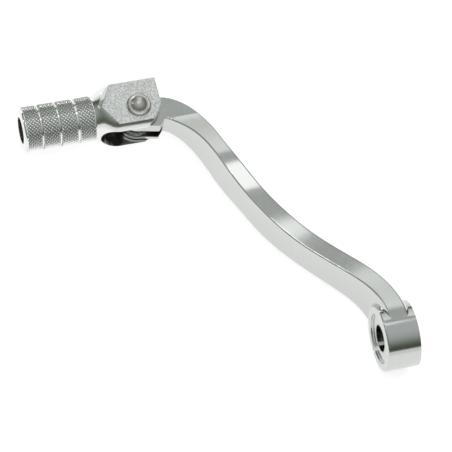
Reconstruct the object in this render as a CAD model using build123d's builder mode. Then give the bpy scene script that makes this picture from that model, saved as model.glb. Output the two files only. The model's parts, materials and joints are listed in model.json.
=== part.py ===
from build123d import *
import math
import os

# Motorcycle gear shift lever with a spring-return folding tip, left side of the machine.
# Units are millimetres.  The origin is the middle of the serrated bore, +X points to the
# rear of the machine, +Y inboard along the shift shaft, +Z up.

# --- serrated boss -----------------------------------------------------------------------
BOSS_R = 13.75             # outside radius of the boss
BOSS_OUT = 7.4             # outboard face, from the middle plane of the arm
BOSS_IN = 6.65             # inboard face
BOSS_RIM_OUT = 0.8         # rounding of the outboard rim
BOSS_RIM_IN = 1.3          # rounding of the inboard rim
RECESS_R = 10.2            # shallow round recess in the outboard face
RECESS_DEPTH = 1.0
RECESS_EDGE_R = 0.4        # rounding of its step
SERRATION_MAJOR_R = 6.0    # for a 12 mm serrated shift shaft
SERRATION_MINOR_R = 5.5
SERRATION_TEETH = 36
TOOTH_LAND_SHARE = 0.42    # share of the pitch that each tooth tip takes
TOOTH_ROOT_SHARE = 0.16    # share of the pitch that each root takes
SLIT_W = 1.6               # clamping slit, straight down from the bore

# --- M5 pinch bolt across the slit, low head sunk behind it ---------------------------------
BOLT_Z = -9.4
BOLT_R = 2.45
BOLT_CLEAR_R = 2.75
BOLT_THREAD_R = 2.5
BOLT_HEAD_R = 4.25
BOLT_HEAD_H = 3.5
BOLT_SEAT_X = 4.2          # seat of the head
BOLT_LENGTH = 12.0
BOLT_BORE_R = 4.5          # counterbore around the head
BOLT_KEY = 4.0             # width across the flats of the socket
BOLT_KEY_DEPTH = 2.2
BOLT_HEAD_CHAMFER = 0.4

# --- forged arm ----------------------------------------------------------------------------
# Stations along the middle of the bar: x, y, width in plan, height.
ARM_STATIONS = [
    (0.0, 0.0, 8.1, 27.3),
    (-9.0, -0.5, 8.1, 25.9),
    (-17.0, -2.8, 8.1, 22.6),
    (-24.0, -6.8, 8.0, 20.2),
    (-31.5, -13.2, 7.9, 18.7),
    (-46.0, -26.5, 7.8, 17.4),
    (-60.0, -36.3, 7.8, 17.9),
    (-73.0, -42.9, 7.6, 17.3),
    (-85.9, -48.5, 7.2, 19.4),
    (-95.8, -52.2, 7.0, 18.3),
    (-106.9, -57.0, 8.8, 13.8),
    (-113.9, -62.6, 9.9, 11.6),
    (-118.2, -71.5, 10.4, 11.5),
]
ARM_EDGE_R = 0.7           # rounding of the four long edges
ARM_ROOT_R = 1.4           # fillet where the bar runs into the boss

# --- pivot of the folding tip; the lengths below it run from the pivot axis -----------------
PIVOT_X = -119.2
PIVOT_Y = -79.9
EYE_R = 8.0                # round end of the arm
EYE_H = 11.5               # its height
EYE_SHOULDER_Y = 5.5       # the stop face on its front runs inboard to here
EYE_NECK_FRONT_X = -4.4    # where the eye meets the bar
EYE_NECK_REAR_X = 6.1
EYE_NECK_Y = 10.2
EYE_REAR_X = 9.5           # rear corner of the eye
BAR_LEVEL_X = 6.5          # the bar is level with the eye from here forward
EYE_REAR_Y = 7.2
GROOVE_TOP = 0.9           # spring groove in the edge of the eye
GROOVE_BOTTOM = -4.0
GROOVE_END_Y = 9.2
GROOVE_FRONT_X = -6.0
BUSH_R = 4.2
BUSH_BORE_R = 3.05
RIVET_R = 3.0
FIT_GAP = 0.01

# --- folding tip ---------------------------------------------------------------------------
PEG_OFFSET = -2.14         # the peg axis lies this far forward of the pivot
FORK_R = 13.2              # turned radius of the fork end
FORK_FLAT_Z = 9.2          # height of the milled flats
FLAT_POINT_Y = -15.4       # outboard point of the flats
FLAT_POINT_SLOPE = 0.58    # slope in plan of the two sides that meet at the point
FLAT_WALL_ANGLE = 45       # slope of the walls around the flats
FLAT_EDGE_R = 0.4          # rounding of the edges of the flats
SLOT_Z = 6.3               # half height of the slot for the eye
SLOT_ROUND_Y = -11.0       # centre of the slot's half-round end
SLOT_WALL_X = -8.1         # inner face of the closed front wall
FORK_END_Y = 9.6           # inboard end of the fork
FORK_CUT_START_X = -1.0    # the end curves away rearwards from here, from the peg axis
FORK_CUT_MID = (6.5, 7.7)
FORK_CUT_END = (11.3, 2.1)
SHOULDER_START = 9.0       # the shoulder runs from here down to the peg
SHOULDER_MID = 14.9
SHOULDER_MID_R = 11.5
PEG_START = 18.7
PEG_END = 49.2
PEG_R = 9.2                # knurled peg, at the roots of its knurl
PEG_END_R = 1.2            # rounding of its open end
PEG_BORE_R = 5.6
PEG_BORE_DEPTH = 24.0
BAND_COUNT = 4             # knurled bands
BAND_GAP = 1.1             # width of the grooves between them
BAND_GAP_DEPTH = 0.4

# --- rivet, washers and spring -------------------------------------------------------------
DOME_R = 5.2
DOME_H = 4.0
DOME_SKIRT = 0.2           # straight side below the dome
PEEN_R = 4.4
PEEN_H = 1.5
RIVET_WASHER_R = 5.6
RIVET_WASHER_T = 0.8
SHIM_R = 7.4
SHIM_BORE_R = 3.15
SHIM_T = 0.5
WIRE_R = 0.5
COIL_R = 5.25              # mean radius of the return spring
COIL_PITCH = 1.05
COIL_TURNS = 3
ARM_LEG = 9.0              # leg lying in the arm's groove
TIP_LEG = 12.0             # leg lying along the fork's front wall
TIP_LEG_LEAN = 9           # degrees that it leans forward; the coil ends that much early

os.makedirs("parts", exist_ok=True)


def pivot_plane(z):
    """Horizontal plane with its origin on the pivot axis."""
    return Plane(origin=(PIVOT_X, PIVOT_Y, z), x_dir=(1, 0, 0), z_dir=(0, 0, 1))


def peg_plane(z):
    """Horizontal plane with its origin over the peg axis, abreast of the pivot."""
    return Plane(origin=(PIVOT_X + PEG_OFFSET, PIVOT_Y, z), x_dir=(1, 0, 0), z_dir=(0, 0, 1))


def at_angle(radius, degrees):
    """Point of a circle about the local origin."""
    turn = math.radians(degrees)
    return (radius * math.cos(turn), radius * math.sin(turn))


def serration_outline():
    """Closed outline of the serrated bore, inboard of the boss; tips and roots are arcs."""
    pitch = 360 / SERRATION_TEETH
    tip_half = pitch * TOOTH_LAND_SHARE / 2
    root_half = pitch * TOOTH_ROOT_SHARE / 2
    with BuildSketch(Plane.XZ.offset(-2 * BOSS_IN)) as outline:
        with BuildLine():
            for tooth in range(SERRATION_TEETH):
                tip = tooth * pitch
                root = tip + pitch / 2
                tip_end = at_angle(SERRATION_MINOR_R, tip + tip_half)
                root_start = at_angle(SERRATION_MAJOR_R, root - root_half)
                root_end = at_angle(SERRATION_MAJOR_R, root + root_half)
                next_tip = at_angle(SERRATION_MINOR_R, tip + pitch - tip_half)
                ThreePointArc(at_angle(SERRATION_MINOR_R, tip - tip_half),
                              at_angle(SERRATION_MINOR_R, tip), tip_end)
                Line(tip_end, root_start)
                ThreePointArc(root_start, at_angle(SERRATION_MAJOR_R, root), root_end)
                Line(root_end, next_tip)
        make_face()
    return outline.sketch


def arm_edges():
    """Points of the bar's two edges in plan, square to its middle line."""
    front = []
    rear = []
    last = len(ARM_STATIONS) - 1
    for index, (x, y, width, _) in enumerate(ARM_STATIONS):
        before = ARM_STATIONS[max(index - 1, 0)]
        after = ARM_STATIONS[min(index + 1, last)]
        along = Vector(after[0] - before[0], after[1] - before[1]).normalized()
        if index == 0:
            along = Vector(-1, 0)
        if index == last:
            along = Vector(0, -1)
        across = Vector(along.Y, -along.X) * (width / 2)
        front.append(Vector(x, y) + across)
        rear.append(Vector(x, y) - across)
    return front, rear


def on_boss_side(edge):
    """Whether an edge lies on the boss's turned side, clear of its rims: the bar's root."""
    middle = edge @ 0.5
    on_side = abs(math.hypot(middle.X, middle.Z) - BOSS_R) < 0.05
    return on_side and BOSS_RIM_OUT - BOSS_OUT < middle.Y < BOSS_IN - BOSS_RIM_IN


def on_fork_flat(edge):
    """Whether an edge borders one of the two flats of the fork."""
    return all(abs(abs((edge @ share).Z) - FORK_FLAT_Z) < 0.01 for share in (0, 0.5, 1))


# --- lever_arm: boss, forged bar and pivot eye in one forging -------------------------------
serration = serration_outline()
front_edge, rear_edge = arm_edges()

with BuildPart() as lever_arm:
    # The bar: its plan outline cut to its side outline, long edges softened.
    with BuildSketch(Plane.XY.offset(-BOSS_R)):
        with BuildLine():
            Spline(front_edge, tangents=[(-1, 0), (0, -1)], tangent_scalars=[1, 1])
            Line(front_edge[-1], rear_edge[-1])
            Spline(rear_edge, tangents=[(-1, 0), (0, -1)], tangent_scalars=[1, 1])
            Line(rear_edge[0], front_edge[0])
        make_face()
    extrude(amount=2 * BOSS_R)
    with BuildSketch(Plane.XZ.offset(-2 * BOSS_IN)):
        with BuildLine():
            top = [(x, height / 2) for x, _, _, height in ARM_STATIONS[:-2]]
            mouth = (PIVOT_X + BAR_LEVEL_X, EYE_H / 2)
            front_end = PIVOT_X - EYE_R
            Spline(top + [mouth], tangents=[(-1, 0), (-1, 0)], tangent_scalars=[1, 1])
            Line(mouth, (front_end, EYE_H / 2))
            Line((front_end, EYE_H / 2), (front_end, 0))
            Line((front_end, 0), (0, 0))
            Line((0, 0), top[0])
        make_face()
        mirror(about=Plane.XZ)
    extrude(amount=2 * BOSS_IN - PIVOT_Y + EYE_R, mode=Mode.INTERSECT)
    curved = lever_arm.edges().filter_by(GeomType.BSPLINE)
    fillet(curved, ARM_EDGE_R)

    # The eye: half round about the pivot, with a square stop shoulder in front.
    with BuildSketch(pivot_plane(-EYE_H / 2)):
        Circle(EYE_R)
        with BuildLine():
            Polyline((-EYE_R, 0), (-EYE_R, EYE_SHOULDER_Y), (EYE_NECK_FRONT_X, EYE_NECK_Y),
                     (EYE_NECK_REAR_X, EYE_NECK_Y), (EYE_REAR_X, EYE_REAR_Y), (EYE_R, 0),
                     close=True)
        make_face()
    extrude(amount=EYE_H)

    # The boss, turned about the shift shaft.
    with BuildSketch():
        with BuildLine():
            Polyline((0, RECESS_DEPTH - BOSS_OUT), (RECESS_R, RECESS_DEPTH - BOSS_OUT),
                     (RECESS_R, -BOSS_OUT), (BOSS_R, -BOSS_OUT), (BOSS_R, BOSS_IN),
                     (0, BOSS_IN), close=True)
        make_face()
        step = vertices().filter_by(lambda corner: abs(corner.X - RECESS_R) < 0.01)
        fillet(step, RECESS_EDGE_R)
        rim = vertices().group_by(Axis.X)[-1].sort_by(Axis.Y)
        fillet(rim[0], BOSS_RIM_OUT)
        fillet(rim[-1], BOSS_RIM_IN)
    revolve(axis=Axis.Y)
    fillet(lever_arm.edges().filter_by(on_boss_side), ARM_ROOT_R)

    # Serrated bore and clamping slit.
    extrude(serration, amount=4 * BOSS_OUT, dir=(0, -1, 0), mode=Mode.SUBTRACT)
    with BuildSketch(Plane.XZ.offset(-2 * BOSS_IN)):
        Rectangle(SLIT_W, 2 * BOSS_R, align=(Align.CENTER, Align.MAX))
    extrude(amount=4 * BOSS_OUT, mode=Mode.SUBTRACT)

    # Pinch bolt: threaded hole in front of the slit, clearance hole and counterbore behind.
    with BuildSketch(Plane.YZ):
        with Locations((0, BOLT_Z)):
            Circle(BOLT_THREAD_R)
    extrude(amount=BOLT_SEAT_X - BOLT_LENGTH - 1, mode=Mode.SUBTRACT)
    with BuildSketch(Plane.YZ):
        with Locations((0, BOLT_Z)):
            Circle(BOLT_CLEAR_R)
    extrude(amount=BOSS_R, mode=Mode.SUBTRACT)
    with BuildSketch(Plane.YZ.offset(BOLT_SEAT_X)):
        with Locations((0, BOLT_Z)):
            Circle(BOLT_BORE_R)
    extrude(amount=BOSS_R, mode=Mode.SUBTRACT)

    # Pivot hole through the eye, and the spring's groove in its edge.
    with BuildSketch(pivot_plane(-EYE_H / 2)):
        Circle(BUSH_R + FIT_GAP)
    extrude(amount=EYE_H, mode=Mode.SUBTRACT)
    with BuildSketch(pivot_plane(GROOVE_BOTTOM)):
        with Locations((0, -GROOVE_END_Y)):
            Rectangle(4 * EYE_R, 2 * GROOVE_END_Y)
        with Locations((GROOVE_FRONT_X + 2 * EYE_R, 0)):
            Rectangle(4 * EYE_R, 2 * GROOVE_END_Y)
    extrude(amount=GROOVE_TOP - GROOVE_BOTTOM, mode=Mode.SUBTRACT)

lever_arm.part.label = "lever_arm"
export_step(lever_arm.part, "parts/lever_arm.step")

# --- folding_tip: fork and hollow knurled peg, turned from one bar ---------------------------
with BuildPart() as folding_tip:
    # Turned outline: radius across, distance from the pivot along.
    with BuildSketch(peg_plane(0)):
        with BuildLine():
            Polyline((0, -PEG_END), (0, FORK_END_Y), (FORK_R, FORK_END_Y),
                     (FORK_R, -SHOULDER_START))
            Spline((FORK_R, -SHOULDER_START), (SHOULDER_MID_R, -SHOULDER_MID),
                   (PEG_R, -PEG_START), tangents=[(0, -1), (-1, -2)])
            Polyline((PEG_R, -PEG_START), (PEG_R, -PEG_END), (0, -PEG_END))
        make_face()
        rim = vertices().group_by(Axis.Y)[0].sort_by(Axis.X)[-1]
        fillet(rim, PEG_END_R)
        for band in range(1, BAND_COUNT):
            middle = -PEG_START - (PEG_END - PEG_START) * band / BAND_COUNT
            with Locations((PEG_R, middle)):
                Rectangle(2 * BAND_GAP_DEPTH, BAND_GAP, mode=Mode.SUBTRACT)
        with Locations((0, -PEG_END)):
            Rectangle(2 * PEG_BORE_R, 2 * PEG_BORE_DEPTH, mode=Mode.SUBTRACT)
    revolve(axis=Axis((PIVOT_X + PEG_OFFSET, PIVOT_Y, 0), (0, 1, 0)))

    # Flats above and below, each ending outboard in a point between sloped walls.
    with BuildSketch(peg_plane(FORK_FLAT_Z)):
        with BuildLine():
            wide = 2 * FORK_R
            side_y = FLAT_POINT_Y + FLAT_POINT_SLOPE * wide
            Polyline((0, FLAT_POINT_Y), (wide, side_y), (wide, wide), (-wide, wide),
                     (-wide, side_y), close=True)
        make_face()
    flat = extrude(amount=FORK_R - FORK_FLAT_Z + 1, taper=-FLAT_WALL_ANGLE, mode=Mode.SUBTRACT)
    mirror(flat, about=Plane.XY, mode=Mode.SUBTRACT)

    # Slot for the eye: open behind and inboard, half round outboard, closed in front.
    slot_origin = (PIVOT_X + SLOT_WALL_X, PIVOT_Y, 0)
    with BuildSketch(Plane(origin=slot_origin, x_dir=(0, 1, 0), z_dir=(1, 0, 0))):
        with Locations((SLOT_ROUND_Y, 0)):
            Circle(SLOT_Z)
            Rectangle(2 * FORK_R + FORK_END_Y, 2 * SLOT_Z, align=(Align.MIN, Align.CENTER))
    extrude(amount=3 * FORK_R, mode=Mode.SUBTRACT)

    # Inboard end, curved away behind so that it swings clear of the arm.
    with BuildSketch(peg_plane(-FORK_R)):
        with BuildLine():
            Polyline((FORK_CUT_START_X, FORK_END_Y), (FORK_CUT_START_X, 2 * FORK_R),
                     (2 * FORK_R, 2 * FORK_R), (2 * FORK_R, FORK_CUT_END[1]), FORK_CUT_END)
            ThreePointArc(FORK_CUT_END, FORK_CUT_MID, (FORK_CUT_START_X, FORK_END_Y))
        make_face()
    extrude(amount=2 * FORK_R, mode=Mode.SUBTRACT)

    fillet(folding_tip.edges().filter_by(on_fork_flat), FLAT_EDGE_R)

    # Rivet hole through both ears.
    with BuildSketch(pivot_plane(-FORK_R)):
        Circle(RIVET_R + FIT_GAP)
    extrude(amount=2 * FORK_R, mode=Mode.SUBTRACT)

folding_tip.part.label = "folding_tip"
export_step(folding_tip.part, "parts/folding_tip.step")

# --- pivot_rivet: domed head above, peened end below ----------------------------------------
def dome_mid(radius, height):
    """Halfway point of a round head's outline: radius out, and drop below its top."""
    sphere_r = (radius**2 + height**2) / (2 * height)
    half_angle = math.asin(radius / sphere_r) / 2
    return sphere_r * math.sin(half_angle), sphere_r * (1 - math.cos(half_angle))


dome_out, dome_drop = dome_mid(DOME_R, DOME_H)
peen_out, peen_drop = dome_mid(PEEN_R, PEEN_H)
dome_base = FORK_FLAT_Z + DOME_SKIRT
dome_top = dome_base + DOME_H
peen_z = -FORK_FLAT_Z - RIVET_WASHER_T
peen_bottom = peen_z - PEEN_H
pivot_axis = Axis((PIVOT_X, PIVOT_Y, 0), (0, 0, 1))
upright = Plane(origin=(PIVOT_X, PIVOT_Y, 0), x_dir=(1, 0, 0), z_dir=(0, -1, 0))

with BuildPart() as pivot_rivet:
    with BuildSketch(upright):
        with BuildLine():
            ThreePointArc((0, dome_top), (dome_out, dome_top - dome_drop), (DOME_R, dome_base))
            Polyline((DOME_R, dome_base), (DOME_R, FORK_FLAT_Z), (RIVET_R, FORK_FLAT_Z),
                     (RIVET_R, peen_z), (PEEN_R, peen_z))
            ThreePointArc((PEEN_R, peen_z), (peen_out, peen_bottom + peen_drop),
                          (0, peen_bottom))
            Line((0, peen_bottom), (0, dome_top))
        make_face()
    revolve(axis=pivot_axis)

pivot_rivet.part.label = "pivot_rivet"
export_step(pivot_rivet.part, "parts/pivot_rivet.step")


def ring(low_z, height, outer_r, bore_r):
    """Plain ring about the pivot axis."""
    with BuildPart() as washer:
        with BuildSketch(pivot_plane(low_z)):
            Circle(outer_r)
            Circle(bore_r, mode=Mode.SUBTRACT)
        extrude(amount=height)
    return washer.part


# --- rings about the pivot: peening washer, bush and two wear shims --------------------------
rings = {
    "rivet_washer": ring(peen_z, RIVET_WASHER_T, RIVET_WASHER_R, RIVET_R + FIT_GAP),
    "pivot_bush": ring(-EYE_H / 2, EYE_H, BUSH_R, BUSH_BORE_R),
    "shim_upper": ring(EYE_H / 2, SHIM_T, SHIM_R, SHIM_BORE_R),
    "shim_lower": ring(-EYE_H / 2 - SHIM_T, SHIM_T, SHIM_R, SHIM_BORE_R),
}
for name, piece in rings.items():
    piece.label = name
    export_step(piece, f"parts/{name}.step")

# --- return_spring: torsion spring round the bush, in the eye's groove -----------------------
coil_height = COIL_PITCH * (COIL_TURNS - TIP_LEG_LEAN / 360)
coil_bottom = (GROOVE_TOP + GROOVE_BOTTOM - coil_height) / 2

coil_plane = Plane(origin=(PIVOT_X, PIVOT_Y, coil_bottom), x_dir=(-1, 0, 0), z_dir=(0, 0, 1))
coil = coil_plane * Helix(pitch=COIL_PITCH, height=coil_height, radius=COIL_R)

with BuildPart() as return_spring:
    with BuildSketch(Plane(origin=coil @ 0, z_dir=coil % 0)):
        Circle(WIRE_R)
    sweep(path=coil, is_frenet=True)
    with BuildSketch(Plane(origin=coil @ 0, z_dir=-(coil % 0))):
        Circle(WIRE_R)
    extrude(amount=ARM_LEG)
    with BuildSketch(Plane(origin=coil @ 1, z_dir=coil % 1)):
        Circle(WIRE_R)
    extrude(amount=TIP_LEG)

return_spring.part.label = "return_spring"
export_step(return_spring.part, "parts/return_spring.step")

# --- pinch_bolt: M5 low-head cap screw -------------------------------------------------------
with BuildPart() as pinch_bolt:
    with BuildSketch(Plane.YZ.offset(BOLT_SEAT_X)):
        with Locations((0, BOLT_Z)):
            Circle(BOLT_HEAD_R)
    extrude(amount=BOLT_HEAD_H)
    outer_rim = pinch_bolt.faces().sort_by(Axis.X)[-1].edges()
    chamfer(outer_rim, BOLT_HEAD_CHAMFER)
    with BuildSketch(Plane.YZ.offset(BOLT_SEAT_X)):
        with Locations((0, BOLT_Z)):
            Circle(BOLT_R)
    extrude(amount=-BOLT_LENGTH)
    with BuildSketch(Plane.YZ.offset(BOLT_SEAT_X + BOLT_HEAD_H - BOLT_KEY_DEPTH)):
        with Locations((0, BOLT_Z)):
            RegularPolygon(BOLT_KEY / 2, 6, major_radius=False)
    extrude(amount=BOLT_KEY_DEPTH, mode=Mode.SUBTRACT)

pinch_bolt.part.label = "pinch_bolt"
export_step(pinch_bolt.part, "parts/pinch_bolt.step")
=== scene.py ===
import json
import math

import bpy
import numpy as np
from mathutils import Matrix, Vector


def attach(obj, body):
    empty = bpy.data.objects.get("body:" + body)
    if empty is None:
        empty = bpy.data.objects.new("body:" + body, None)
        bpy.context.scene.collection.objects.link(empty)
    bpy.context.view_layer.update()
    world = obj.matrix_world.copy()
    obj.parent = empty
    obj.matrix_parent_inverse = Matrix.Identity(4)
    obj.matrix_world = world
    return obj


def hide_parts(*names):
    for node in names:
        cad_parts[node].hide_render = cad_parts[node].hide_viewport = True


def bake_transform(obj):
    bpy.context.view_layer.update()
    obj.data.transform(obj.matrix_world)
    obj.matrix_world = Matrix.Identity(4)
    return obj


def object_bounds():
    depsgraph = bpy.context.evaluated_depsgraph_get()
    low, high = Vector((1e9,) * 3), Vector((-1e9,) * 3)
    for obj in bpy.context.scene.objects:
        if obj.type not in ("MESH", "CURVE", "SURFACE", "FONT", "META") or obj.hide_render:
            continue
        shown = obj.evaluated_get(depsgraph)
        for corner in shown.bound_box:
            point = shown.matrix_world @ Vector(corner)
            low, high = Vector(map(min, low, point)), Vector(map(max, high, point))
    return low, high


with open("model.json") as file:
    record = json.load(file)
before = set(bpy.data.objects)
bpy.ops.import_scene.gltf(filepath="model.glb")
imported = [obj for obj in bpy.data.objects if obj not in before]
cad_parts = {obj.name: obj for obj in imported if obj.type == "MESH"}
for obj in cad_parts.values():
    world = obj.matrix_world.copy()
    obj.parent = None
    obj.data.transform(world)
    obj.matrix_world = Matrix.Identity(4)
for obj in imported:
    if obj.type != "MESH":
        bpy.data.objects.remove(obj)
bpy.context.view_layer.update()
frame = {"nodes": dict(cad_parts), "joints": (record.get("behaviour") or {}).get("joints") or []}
nodes = frame["nodes"]

MM = 0.001

# --- sizes ------------------------------------------------------------------------------------
PIVOT = Vector(frame["joints"][0]["pos_m"])  # middle of the rivet that the tip folds about
PEG_X = PIVOT.x - 2.14 * MM          # the peg's axis lies this far in front of the pivot
FORK_FLAT_Z = 9.2 * MM               # height of the fork's milled flats
KNURL_ROOT_R = 9.2 * MM
KNURL_DEPTH = 0.45 * MM
KNURL_COUNT = 38                     # diamonds round the peg
KNURL_STEPS = 8                      # mesh steps across a diamond
KNURL_FLAT = 0.70                    # share of a diamond's height where its flat top starts
KNURL_END_R = 8.75 * MM              # radius at both ends of a band, inside the peg
KNURL_FADE = 0.45 * MM               # the band rounds off over this length at its ends
# Start and end of each knurled band in mm, outboard of the pivot.
KNURL_BANDS = [(18.7, 26.0), (26.6, 33.7), (34.2, 41.3), (41.8, 48.4)]

# --- camera -----------------------------------------------------------------------------------
SENSOR = 36.0                        # mm
LENS = 242.2                         # mm
CAMERA_AT = Vector((0.4560, -0.3163, 1.1105))
CAMERA_RIGHT = Vector((0.24544, 0.96299, 0.11140))
CAMERA_UP = Vector((-0.87685, 0.17153, 0.44911))


def add_camera():
    """Camera above, behind and outboard of the lever, rolled as the lever was laid down."""
    data = bpy.data.cameras.new("view")
    data.sensor_width = SENSOR
    data.lens = LENS
    data.clip_start = 0.05
    data.clip_end = 20.0
    camera = bpy.data.objects.new("view", data)
    bpy.context.scene.collection.objects.link(camera)
    back = CAMERA_RIGHT.cross(CAMERA_UP).normalized()
    up = back.cross(CAMERA_RIGHT).normalized()
    right = up.cross(back)
    turn = Matrix((right, up, back)).transposed().to_4x4()
    camera.matrix_world = Matrix.Translation(CAMERA_AT) @ turn
    bpy.context.scene.camera = camera


add_camera()


# --- materials --------------------------------------------------------------------------------
RELIEF_DEPTH = 0.05 * MM
GRAIN_RANGE = (0.3, 0.7)             # noise values between which a metal's colour changes
GLOSS_RANGE = (0.75, 1.35)           # shares of a metal's roughness where its noise is 0 and 1
FLAT_TOLERANCE = 0.1 * MM            # a point this near to a flat's height may lie on it
LEVEL_FACING = 0.9                   # upright share of a normal from which a surface is level
TURNED_DARK = 0.92                   # share of its colour where turned metal is darkest
TURNED_GLOSS_RANGE = (0.8, 1.2)
BLASTED_ROUGHNESS = 0.42
BLASTED_GRAIN = 1800                 # scale of the noise that makes the blasted sparkle
BLASTED_DARK = (0.35, 0.62)          # noise value, and share of the colour up to there
BLASTED_LIGHT = (0.65, 1.10)         # noise value, and share of the colour from there on
BLASTED_RELIEF = 0.6
GROOVE_SHADE_TOP = KNURL_ROOT_R + 0.8 * KNURL_DEPTH  # no shade is painted on the knurl above this radius
GROOVE_SHADE_SHARE = 0.55                  # share of the knurl's colour left at its roots: painted shade in the grooves


def new_material(name, metallic=0.0):
    """Plain material, with its node tree and its shader."""
    material = bpy.data.materials.new(name)
    material.use_nodes = True
    tree = material.node_tree
    shader = tree.nodes["Principled BSDF"]
    shader.inputs["Metallic"].default_value = metallic
    return material, tree, shader


def shaded(color, share):
    """Colour whose parts are each multiplied by share."""
    return [part * share for part in color]


def add_noise(tree, where, scale, detail):
    """Noise that stays fixed to the piece."""
    noise = tree.nodes.new("ShaderNodeTexNoise")
    noise.inputs["Scale"].default_value = scale
    noise.inputs["Detail"].default_value = detail
    tree.links.new(where.outputs["Object"], noise.inputs["Vector"])
    return noise.outputs["Fac"]


def add_ramp(tree, value, stops):
    """Colour that follows a value through a list of (position, colour) stops."""
    ramp = tree.nodes.new("ShaderNodeValToRGB")
    bands = ramp.color_ramp.elements
    while len(bands) > 1:
        bands.remove(bands[-1])
    bands[0].position = stops[0][0]
    bands[0].color = (*stops[0][1], 1)
    for position, color in stops[1:]:
        bands.new(position).color = (*color, 1)
    tree.links.new(value, ramp.inputs["Fac"])
    return ramp.outputs["Color"]


def add_relief(tree, shader, height):
    """Shallow relief of the surface; returns the socket that its strength goes into."""
    relief = tree.nodes.new("ShaderNodeBump")
    relief.inputs["Distance"].default_value = RELIEF_DEPTH
    tree.links.new(height, relief.inputs["Height"])
    tree.links.new(relief.outputs["Normal"], shader.inputs["Normal"])
    return relief.inputs["Strength"]


def calculate(tree, operation, value, other=0.0):
    """Result of a maths node whose second value is a number or another node's output."""
    node = tree.nodes.new("ShaderNodeMath")
    node.operation = operation
    tree.links.new(value, node.inputs[0])
    if isinstance(other, (int, float)):
        node.inputs[1].default_value = other
    else:
        tree.links.new(other, node.inputs[1])
    return node.outputs["Value"]


def metal(name, color, roughness, grain, grain_scale, bump):
    """Bare metal whose colour, gloss and surface vary with a fine noise."""
    material, tree, shader = new_material(name, metallic=1.0)
    where = tree.nodes.new("ShaderNodeTexCoord")
    noise = add_noise(tree, where, grain_scale, detail=6.0)
    tint = add_ramp(tree, noise, [(GRAIN_RANGE[0], shaded(color, 1 - grain)),
                                  (GRAIN_RANGE[1], color)])
    tree.links.new(tint, shader.inputs["Base Color"])
    gloss = tree.nodes.new("ShaderNodeMapRange")
    gloss.inputs["To Min"].default_value = roughness * GLOSS_RANGE[0]
    gloss.inputs["To Max"].default_value = roughness * GLOSS_RANGE[1]
    tree.links.new(noise, gloss.inputs["Value"])
    tree.links.new(gloss.outputs["Result"], shader.inputs["Roughness"])
    add_relief(tree, shader, noise).default_value = bump
    return material


def turned_and_blasted(name, color, roughness, flat_z):
    """Turned bare metal, bright all over but bead blasted on its level flats."""
    material, tree, shader = new_material(name, metallic=1.0)
    where = tree.nodes.new("ShaderNodeTexCoord")
    place = tree.nodes.new("ShaderNodeSeparateXYZ")
    tree.links.new(where.outputs["Object"], place.inputs["Vector"])
    facing = tree.nodes.new("ShaderNodeSeparateXYZ")
    tree.links.new(where.outputs["Normal"], facing.inputs["Vector"])

    height = calculate(tree, "ABSOLUTE", place.outputs["Z"])
    off_flat = calculate(tree, "ABSOLUTE", calculate(tree, "SUBTRACT", height, flat_z))
    near = calculate(tree, "LESS_THAN", off_flat, FLAT_TOLERANCE)
    upright = calculate(tree, "ABSOLUTE", facing.outputs["Z"])
    level = calculate(tree, "GREATER_THAN", upright, LEVEL_FACING)
    on_flat = calculate(tree, "MULTIPLY", near, level)

    noise = add_noise(tree, where, BLASTED_GRAIN, detail=3.0)
    sparkle = add_ramp(tree, noise, [(at, shaded(color, share))
                                     for at, share in (BLASTED_DARK, BLASTED_LIGHT)])
    bright = add_ramp(tree, noise, [(0.0, shaded(color, TURNED_DARK)), (1.0, color)])
    tint = tree.nodes.new("ShaderNodeMix")
    tint.data_type = "RGBA"
    tree.links.new(on_flat, tint.inputs["Factor"])
    tree.links.new(bright, tint.inputs["A"])
    tree.links.new(sparkle, tint.inputs["B"])
    tree.links.new(tint.outputs["Result"], shader.inputs["Base Color"])

    matt = calculate(tree, "MULTIPLY", on_flat, BLASTED_ROUGHNESS - roughness)
    least, most = TURNED_GLOSS_RANGE
    uneven = calculate(tree, "MULTIPLY", noise, roughness * (most - least))
    added = calculate(tree, "ADD", matt, uneven)
    total = calculate(tree, "ADD", added, roughness * least)
    tree.links.new(total, shader.inputs["Roughness"])
    strength = calculate(tree, "MULTIPLY", on_flat, BLASTED_RELIEF)
    tree.links.new(strength, add_relief(tree, shader, noise))
    return material


def paint_groove_shade(material, axis_x, low, high, shade_share):
    """Paints shade into a turned piece: darker from radius high inwards, down to the given share of
    its colour at radius low.
    """
    tree = material.node_tree
    shader = tree.nodes["Principled BSDF"]
    where = tree.nodes.new("ShaderNodeTexCoord")
    across = tree.nodes.new("ShaderNodeVectorMath")
    across.operation = "MULTIPLY_ADD"
    across.inputs[1].default_value = (1, 0, 1)
    across.inputs[2].default_value = (-axis_x, 0, 0)
    tree.links.new(where.outputs["Object"], across.inputs[0])
    radius = tree.nodes.new("ShaderNodeVectorMath")
    radius.operation = "LENGTH"
    tree.links.new(across.outputs["Vector"], radius.inputs[0])
    share = tree.nodes.new("ShaderNodeMapRange")
    share.inputs["From Min"].default_value = low
    share.inputs["From Max"].default_value = high
    share.inputs["To Min"].default_value = shade_share
    tree.links.new(radius.outputs["Value"], share.inputs["Value"])
    metal_color = shader.inputs["Base Color"].links[0].from_socket
    shaded_metal_color = tree.nodes.new("ShaderNodeVectorMath")
    shaded_metal_color.operation = "SCALE"
    tree.links.new(metal_color, shaded_metal_color.inputs[0])
    tree.links.new(share.outputs["Result"], shaded_metal_color.inputs["Scale"])
    tree.links.new(shaded_metal_color.outputs["Vector"], shader.inputs["Base Color"])


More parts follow.
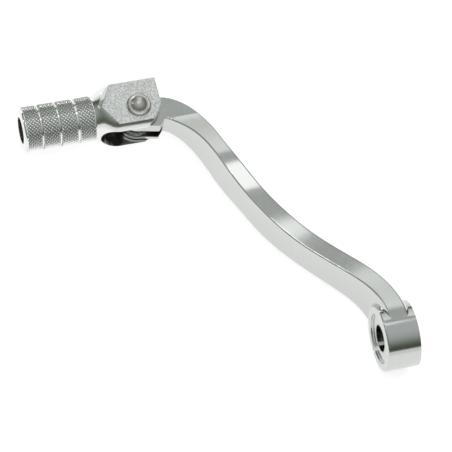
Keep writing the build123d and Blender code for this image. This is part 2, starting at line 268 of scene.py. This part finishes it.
polished = metal("polished_aluminium", color=(0.58, 0.59, 0.575), roughness=0.13, grain=0.03,
                 grain_scale=600, bump=0.02)
tip_metal = turned_and_blasted("tip_aluminium", color=(0.80, 0.81, 0.80), roughness=0.16,
                               flat_z=FORK_FLAT_Z)
knurled = metal("knurled_aluminium", color=(0.95, 0.96, 0.95), roughness=0.24, grain=0.10,
                grain_scale=1400, bump=0.10)
# Painted shade: the knurl's grooves are darkened in its colour, standing in for the shade that
# falls in them.
paint_groove_shade(knurled, PEG_X, low=KNURL_ROOT_R, high=GROOVE_SHADE_TOP, shade_share=GROOVE_SHADE_SHARE)
rivet_steel = metal("rivet_steel", color=(0.60, 0.59, 0.56), roughness=0.28, grain=0.15,
                    grain_scale=900, bump=0.10)
washer_steel = metal("washer_steel", color=(0.6, 0.6, 0.58), roughness=0.3, grain=0.1,
                     grain_scale=1200, bump=0.1)
bronze = metal("bush_bronze", color=(0.62, 0.46, 0.26), roughness=0.45, grain=0.25,
               grain_scale=3000, bump=0.4)
spring_steel = metal("spring_steel", color=(0.4, 0.4, 0.4), roughness=0.25, grain=0.1,
                     grain_scale=1500, bump=0.1)
zinc = metal("bolt_steel", color=(0.55, 0.56, 0.55), roughness=0.3, grain=0.1,
             grain_scale=1200, bump=0.1)
# The shims lie between metal faces and share the metals' shader, nearly black.
acetal = metal("shim_plastic", color=(0.05, 0.05, 0.05), roughness=0.4, grain=0.2,
               grain_scale=2000, bump=0.1)

looks = {
    "lever_arm": polished,
    "folding_tip": tip_metal,
    "pivot_rivet": rivet_steel,
    "rivet_washer": washer_steel,
    "pivot_bush": bronze,
    "shim_upper": acetal,
    "shim_lower": acetal,
    "return_spring": spring_steel,
    "pinch_bolt": zinc,
}
for name, material in looks.items():
    nodes[name].data.materials.clear()
    nodes[name].data.materials.append(material)


# --- knurl ------------------------------------------------------------------------------------
def diamond_height(turns, along):
    """Height, 0 to 1, of a diamond knurl whose grooves cross at whole numbers."""
    one_way = 2 * np.abs((turns + along + 0.5) % 1 - 0.5)
    other_way = 2 * np.abs((turns - along + 0.5) % 1 - 0.5)
    return np.minimum(np.minimum(one_way, other_way) / KNURL_FLAT, 1)


def knurl_band(start, end):
    """Vertices and triangles of one knurled band round the peg."""
    pitch = 2 * math.pi * KNURL_ROOT_R / KNURL_COUNT
    step = pitch / KNURL_STEPS
    rows = np.arange(math.ceil(start / step), math.floor(end / step) + 1) * step
    columns = np.arange(KNURL_COUNT * KNURL_STEPS) / KNURL_STEPS
    along, turns = np.meshgrid(rows, columns, indexing="ij")

    def radius(at, diamond):
        from_end = np.minimum(at - rows[0], rows[-1] - at)
        fade = np.sqrt(np.clip(from_end / KNURL_FADE, 0, 1))
        full = KNURL_ROOT_R + KNURL_DEPTH * diamond_height(diamond, at / pitch)
        return KNURL_END_R + (full - KNURL_END_R) * fade

    out = radius(along, turns)
    angle = turns * 2 * math.pi / KNURL_COUNT
    x = PEG_X + out * np.cos(angle)
    y = PIVOT.y - along
    z = out * np.sin(angle)
    points = np.stack([x, y, z], axis=-1).reshape(-1, 3)

    count = len(columns)
    low = np.arange(len(rows) - 1)[:, None] * count
    left = np.arange(count)[None, :]
    right = (left + 1) % count
    a, b, c, d = low + left, low + right, low + count + right, low + count + left
    # Each square is split along the diagonal whose middle lies nearer to the knurl's surface.
    corner = out.reshape(-1)
    middle = radius(along[:-1] + step / 2, turns[:-1] + 0.5 / KNURL_STEPS)
    off_ac = np.abs((corner[a] + corner[c]) / 2 - middle)
    off_bd = np.abs((corner[b] + corner[d]) / 2 - middle)
    use_ac = (off_ac <= off_bd)[..., None]
    half = np.where(use_ac, np.stack([a, b, c], axis=-1), np.stack([a, b, d], axis=-1))
    other_half = np.where(use_ac, np.stack([a, c, d], axis=-1), np.stack([b, c, d], axis=-1))
    return points, np.concatenate([half.reshape(-1, 3), other_half.reshape(-1, 3)])


def add_knurl():
    """Diamond knurl of the peg: four separate bands in one mesh."""
    points = []
    faces = []
    count = 0
    for start, end in KNURL_BANDS:
        band_points, band_faces = knurl_band(start * MM, end * MM)
        points.append(band_points)
        faces.append(band_faces + count)
        count += len(band_points)
    data = bpy.data.meshes.new("peg_knurl")
    data.from_pydata(np.concatenate(points).tolist(), [], np.concatenate(faces).tolist())
    data.validate()
    data.materials.append(knurled)
    knurl = bpy.data.objects.new("peg_knurl", data)
    bpy.context.scene.collection.objects.link(knurl)
    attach(knurl, "tip")


add_knurl()


# --- return spring ----------------------------------------------------------------------------
def add_wound_spring():
    """Copy of the spring that takes the place of the hidden CAD spring, with its placement baked
    into the mesh.
    """
    spring = bpy.data.objects.new("wound_spring", nodes["return_spring"].data.copy())
    bpy.context.scene.collection.objects.link(spring)
    spring.matrix_world = nodes["return_spring"].matrix_world
    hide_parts("return_spring")
    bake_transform(spring)


add_wound_spring()


# --- stage and light --------------------------------------------------------------------------
FLOOR_SIZE = 6.0
FLOOR_GAP = 0.3 * MM                 # between the lowest piece and the floor
FLOOR_GLOW = 0.72
LEVER_MIDDLE = Vector((-0.065, -0.045, 0))
# Name, direction from the lever, distance, size, radiance, and whether reflections show it.
LIGHTS = [
    ("floor_wash", (0.10, 0.10, 1.00), 1.6, (1.60, 1.60), 1.30, False),
    ("front_box", (-0.75, 0.20, 0.63), 1.0, (0.60, 0.55), 0.68, True),
    ("overhead_box", (-0.32, 0.10, 0.94), 1.0, (0.40, 0.18), 1.10, True),
    ("top_box", (-0.11, -0.11, 0.99), 1.0, (0.12, 0.12), 4.50, True),
    ("outboard_box", (-0.40, -0.79, 0.46), 1.0, (0.12, 0.12), 5.00, True),
    ("low_box", (-0.93, -0.31, 0.12), 1.0, (0.20, 0.14), 3.00, True),
]
# Sine of the height above the horizon, and the colour there.
WALL_BANDS = [
    (0.00, (0.95, 0.95, 0.94)),
    (0.20, (0.95, 0.95, 0.94)),
    (0.24, (0.07, 0.075, 0.05)),
    (0.42, (0.10, 0.11, 0.08)),
    (0.60, (0.22, 0.25, 0.22)),
    (0.80, (0.46, 0.49, 0.48)),
    (1.00, (0.64, 0.66, 0.66)),
]


def add_floor():
    """Pale floor that glows a little, like a light table, just under the lever."""
    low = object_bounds()[0]
    bpy.ops.mesh.primitive_plane_add(size=FLOOR_SIZE, location=(0, 0, low[2] - FLOOR_GAP))
    floor = bpy.context.object
    floor.name = "floor"
    material, _, shader = new_material("pale_floor")
    shader.inputs["Base Color"].default_value = (0.55, 0.55, 0.55, 1)
    shader.inputs["Roughness"].default_value = 0.9
    shader.inputs["Specular IOR Level"].default_value = 0.1
    shader.inputs["Emission Color"].default_value = (1, 1, 1, 1)
    shader.inputs["Emission Strength"].default_value = FLOOR_GLOW
    floor.data.materials.append(material)


def add_light(name, way, distance, size, radiance, in_reflections):
    """Soft rectangular light that shines at the lever's middle from the given direction."""
    data = bpy.data.lights.new(name, "AREA")
    data.shape = "RECTANGLE"
    data.size, data.size_y = size
    data.energy = radiance * math.pi * size[0] * size[1]
    lamp = bpy.data.objects.new(name, data)
    bpy.context.scene.collection.objects.link(lamp)
    out = Vector(way).normalized()
    at = LEVER_MIDDLE + out * distance
    lamp.matrix_world = Matrix.Translation(at) @ out.to_track_quat("Z", "Y").to_matrix().to_4x4()
    lamp.visible_glossy = in_reflections


def add_world():
    """Studio surroundings by height: pale sweep low down, a dim wall band, paler above."""
    world = bpy.data.worlds.new("studio")
    world.use_nodes = True
    tree = world.node_tree
    where = tree.nodes.new("ShaderNodeTexCoord")
    split = tree.nodes.new("ShaderNodeSeparateXYZ")
    tree.links.new(where.outputs["Generated"], split.inputs["Vector"])
    wall = add_ramp(tree, split.outputs["Z"], WALL_BANDS)
    tree.links.new(wall, tree.nodes["Background"].inputs["Color"])
    bpy.context.scene.world = world


add_floor()
for light in LIGHTS:
    add_light(*light)
add_world()
bpy.context.scene.view_settings.view_transform = "Standard"
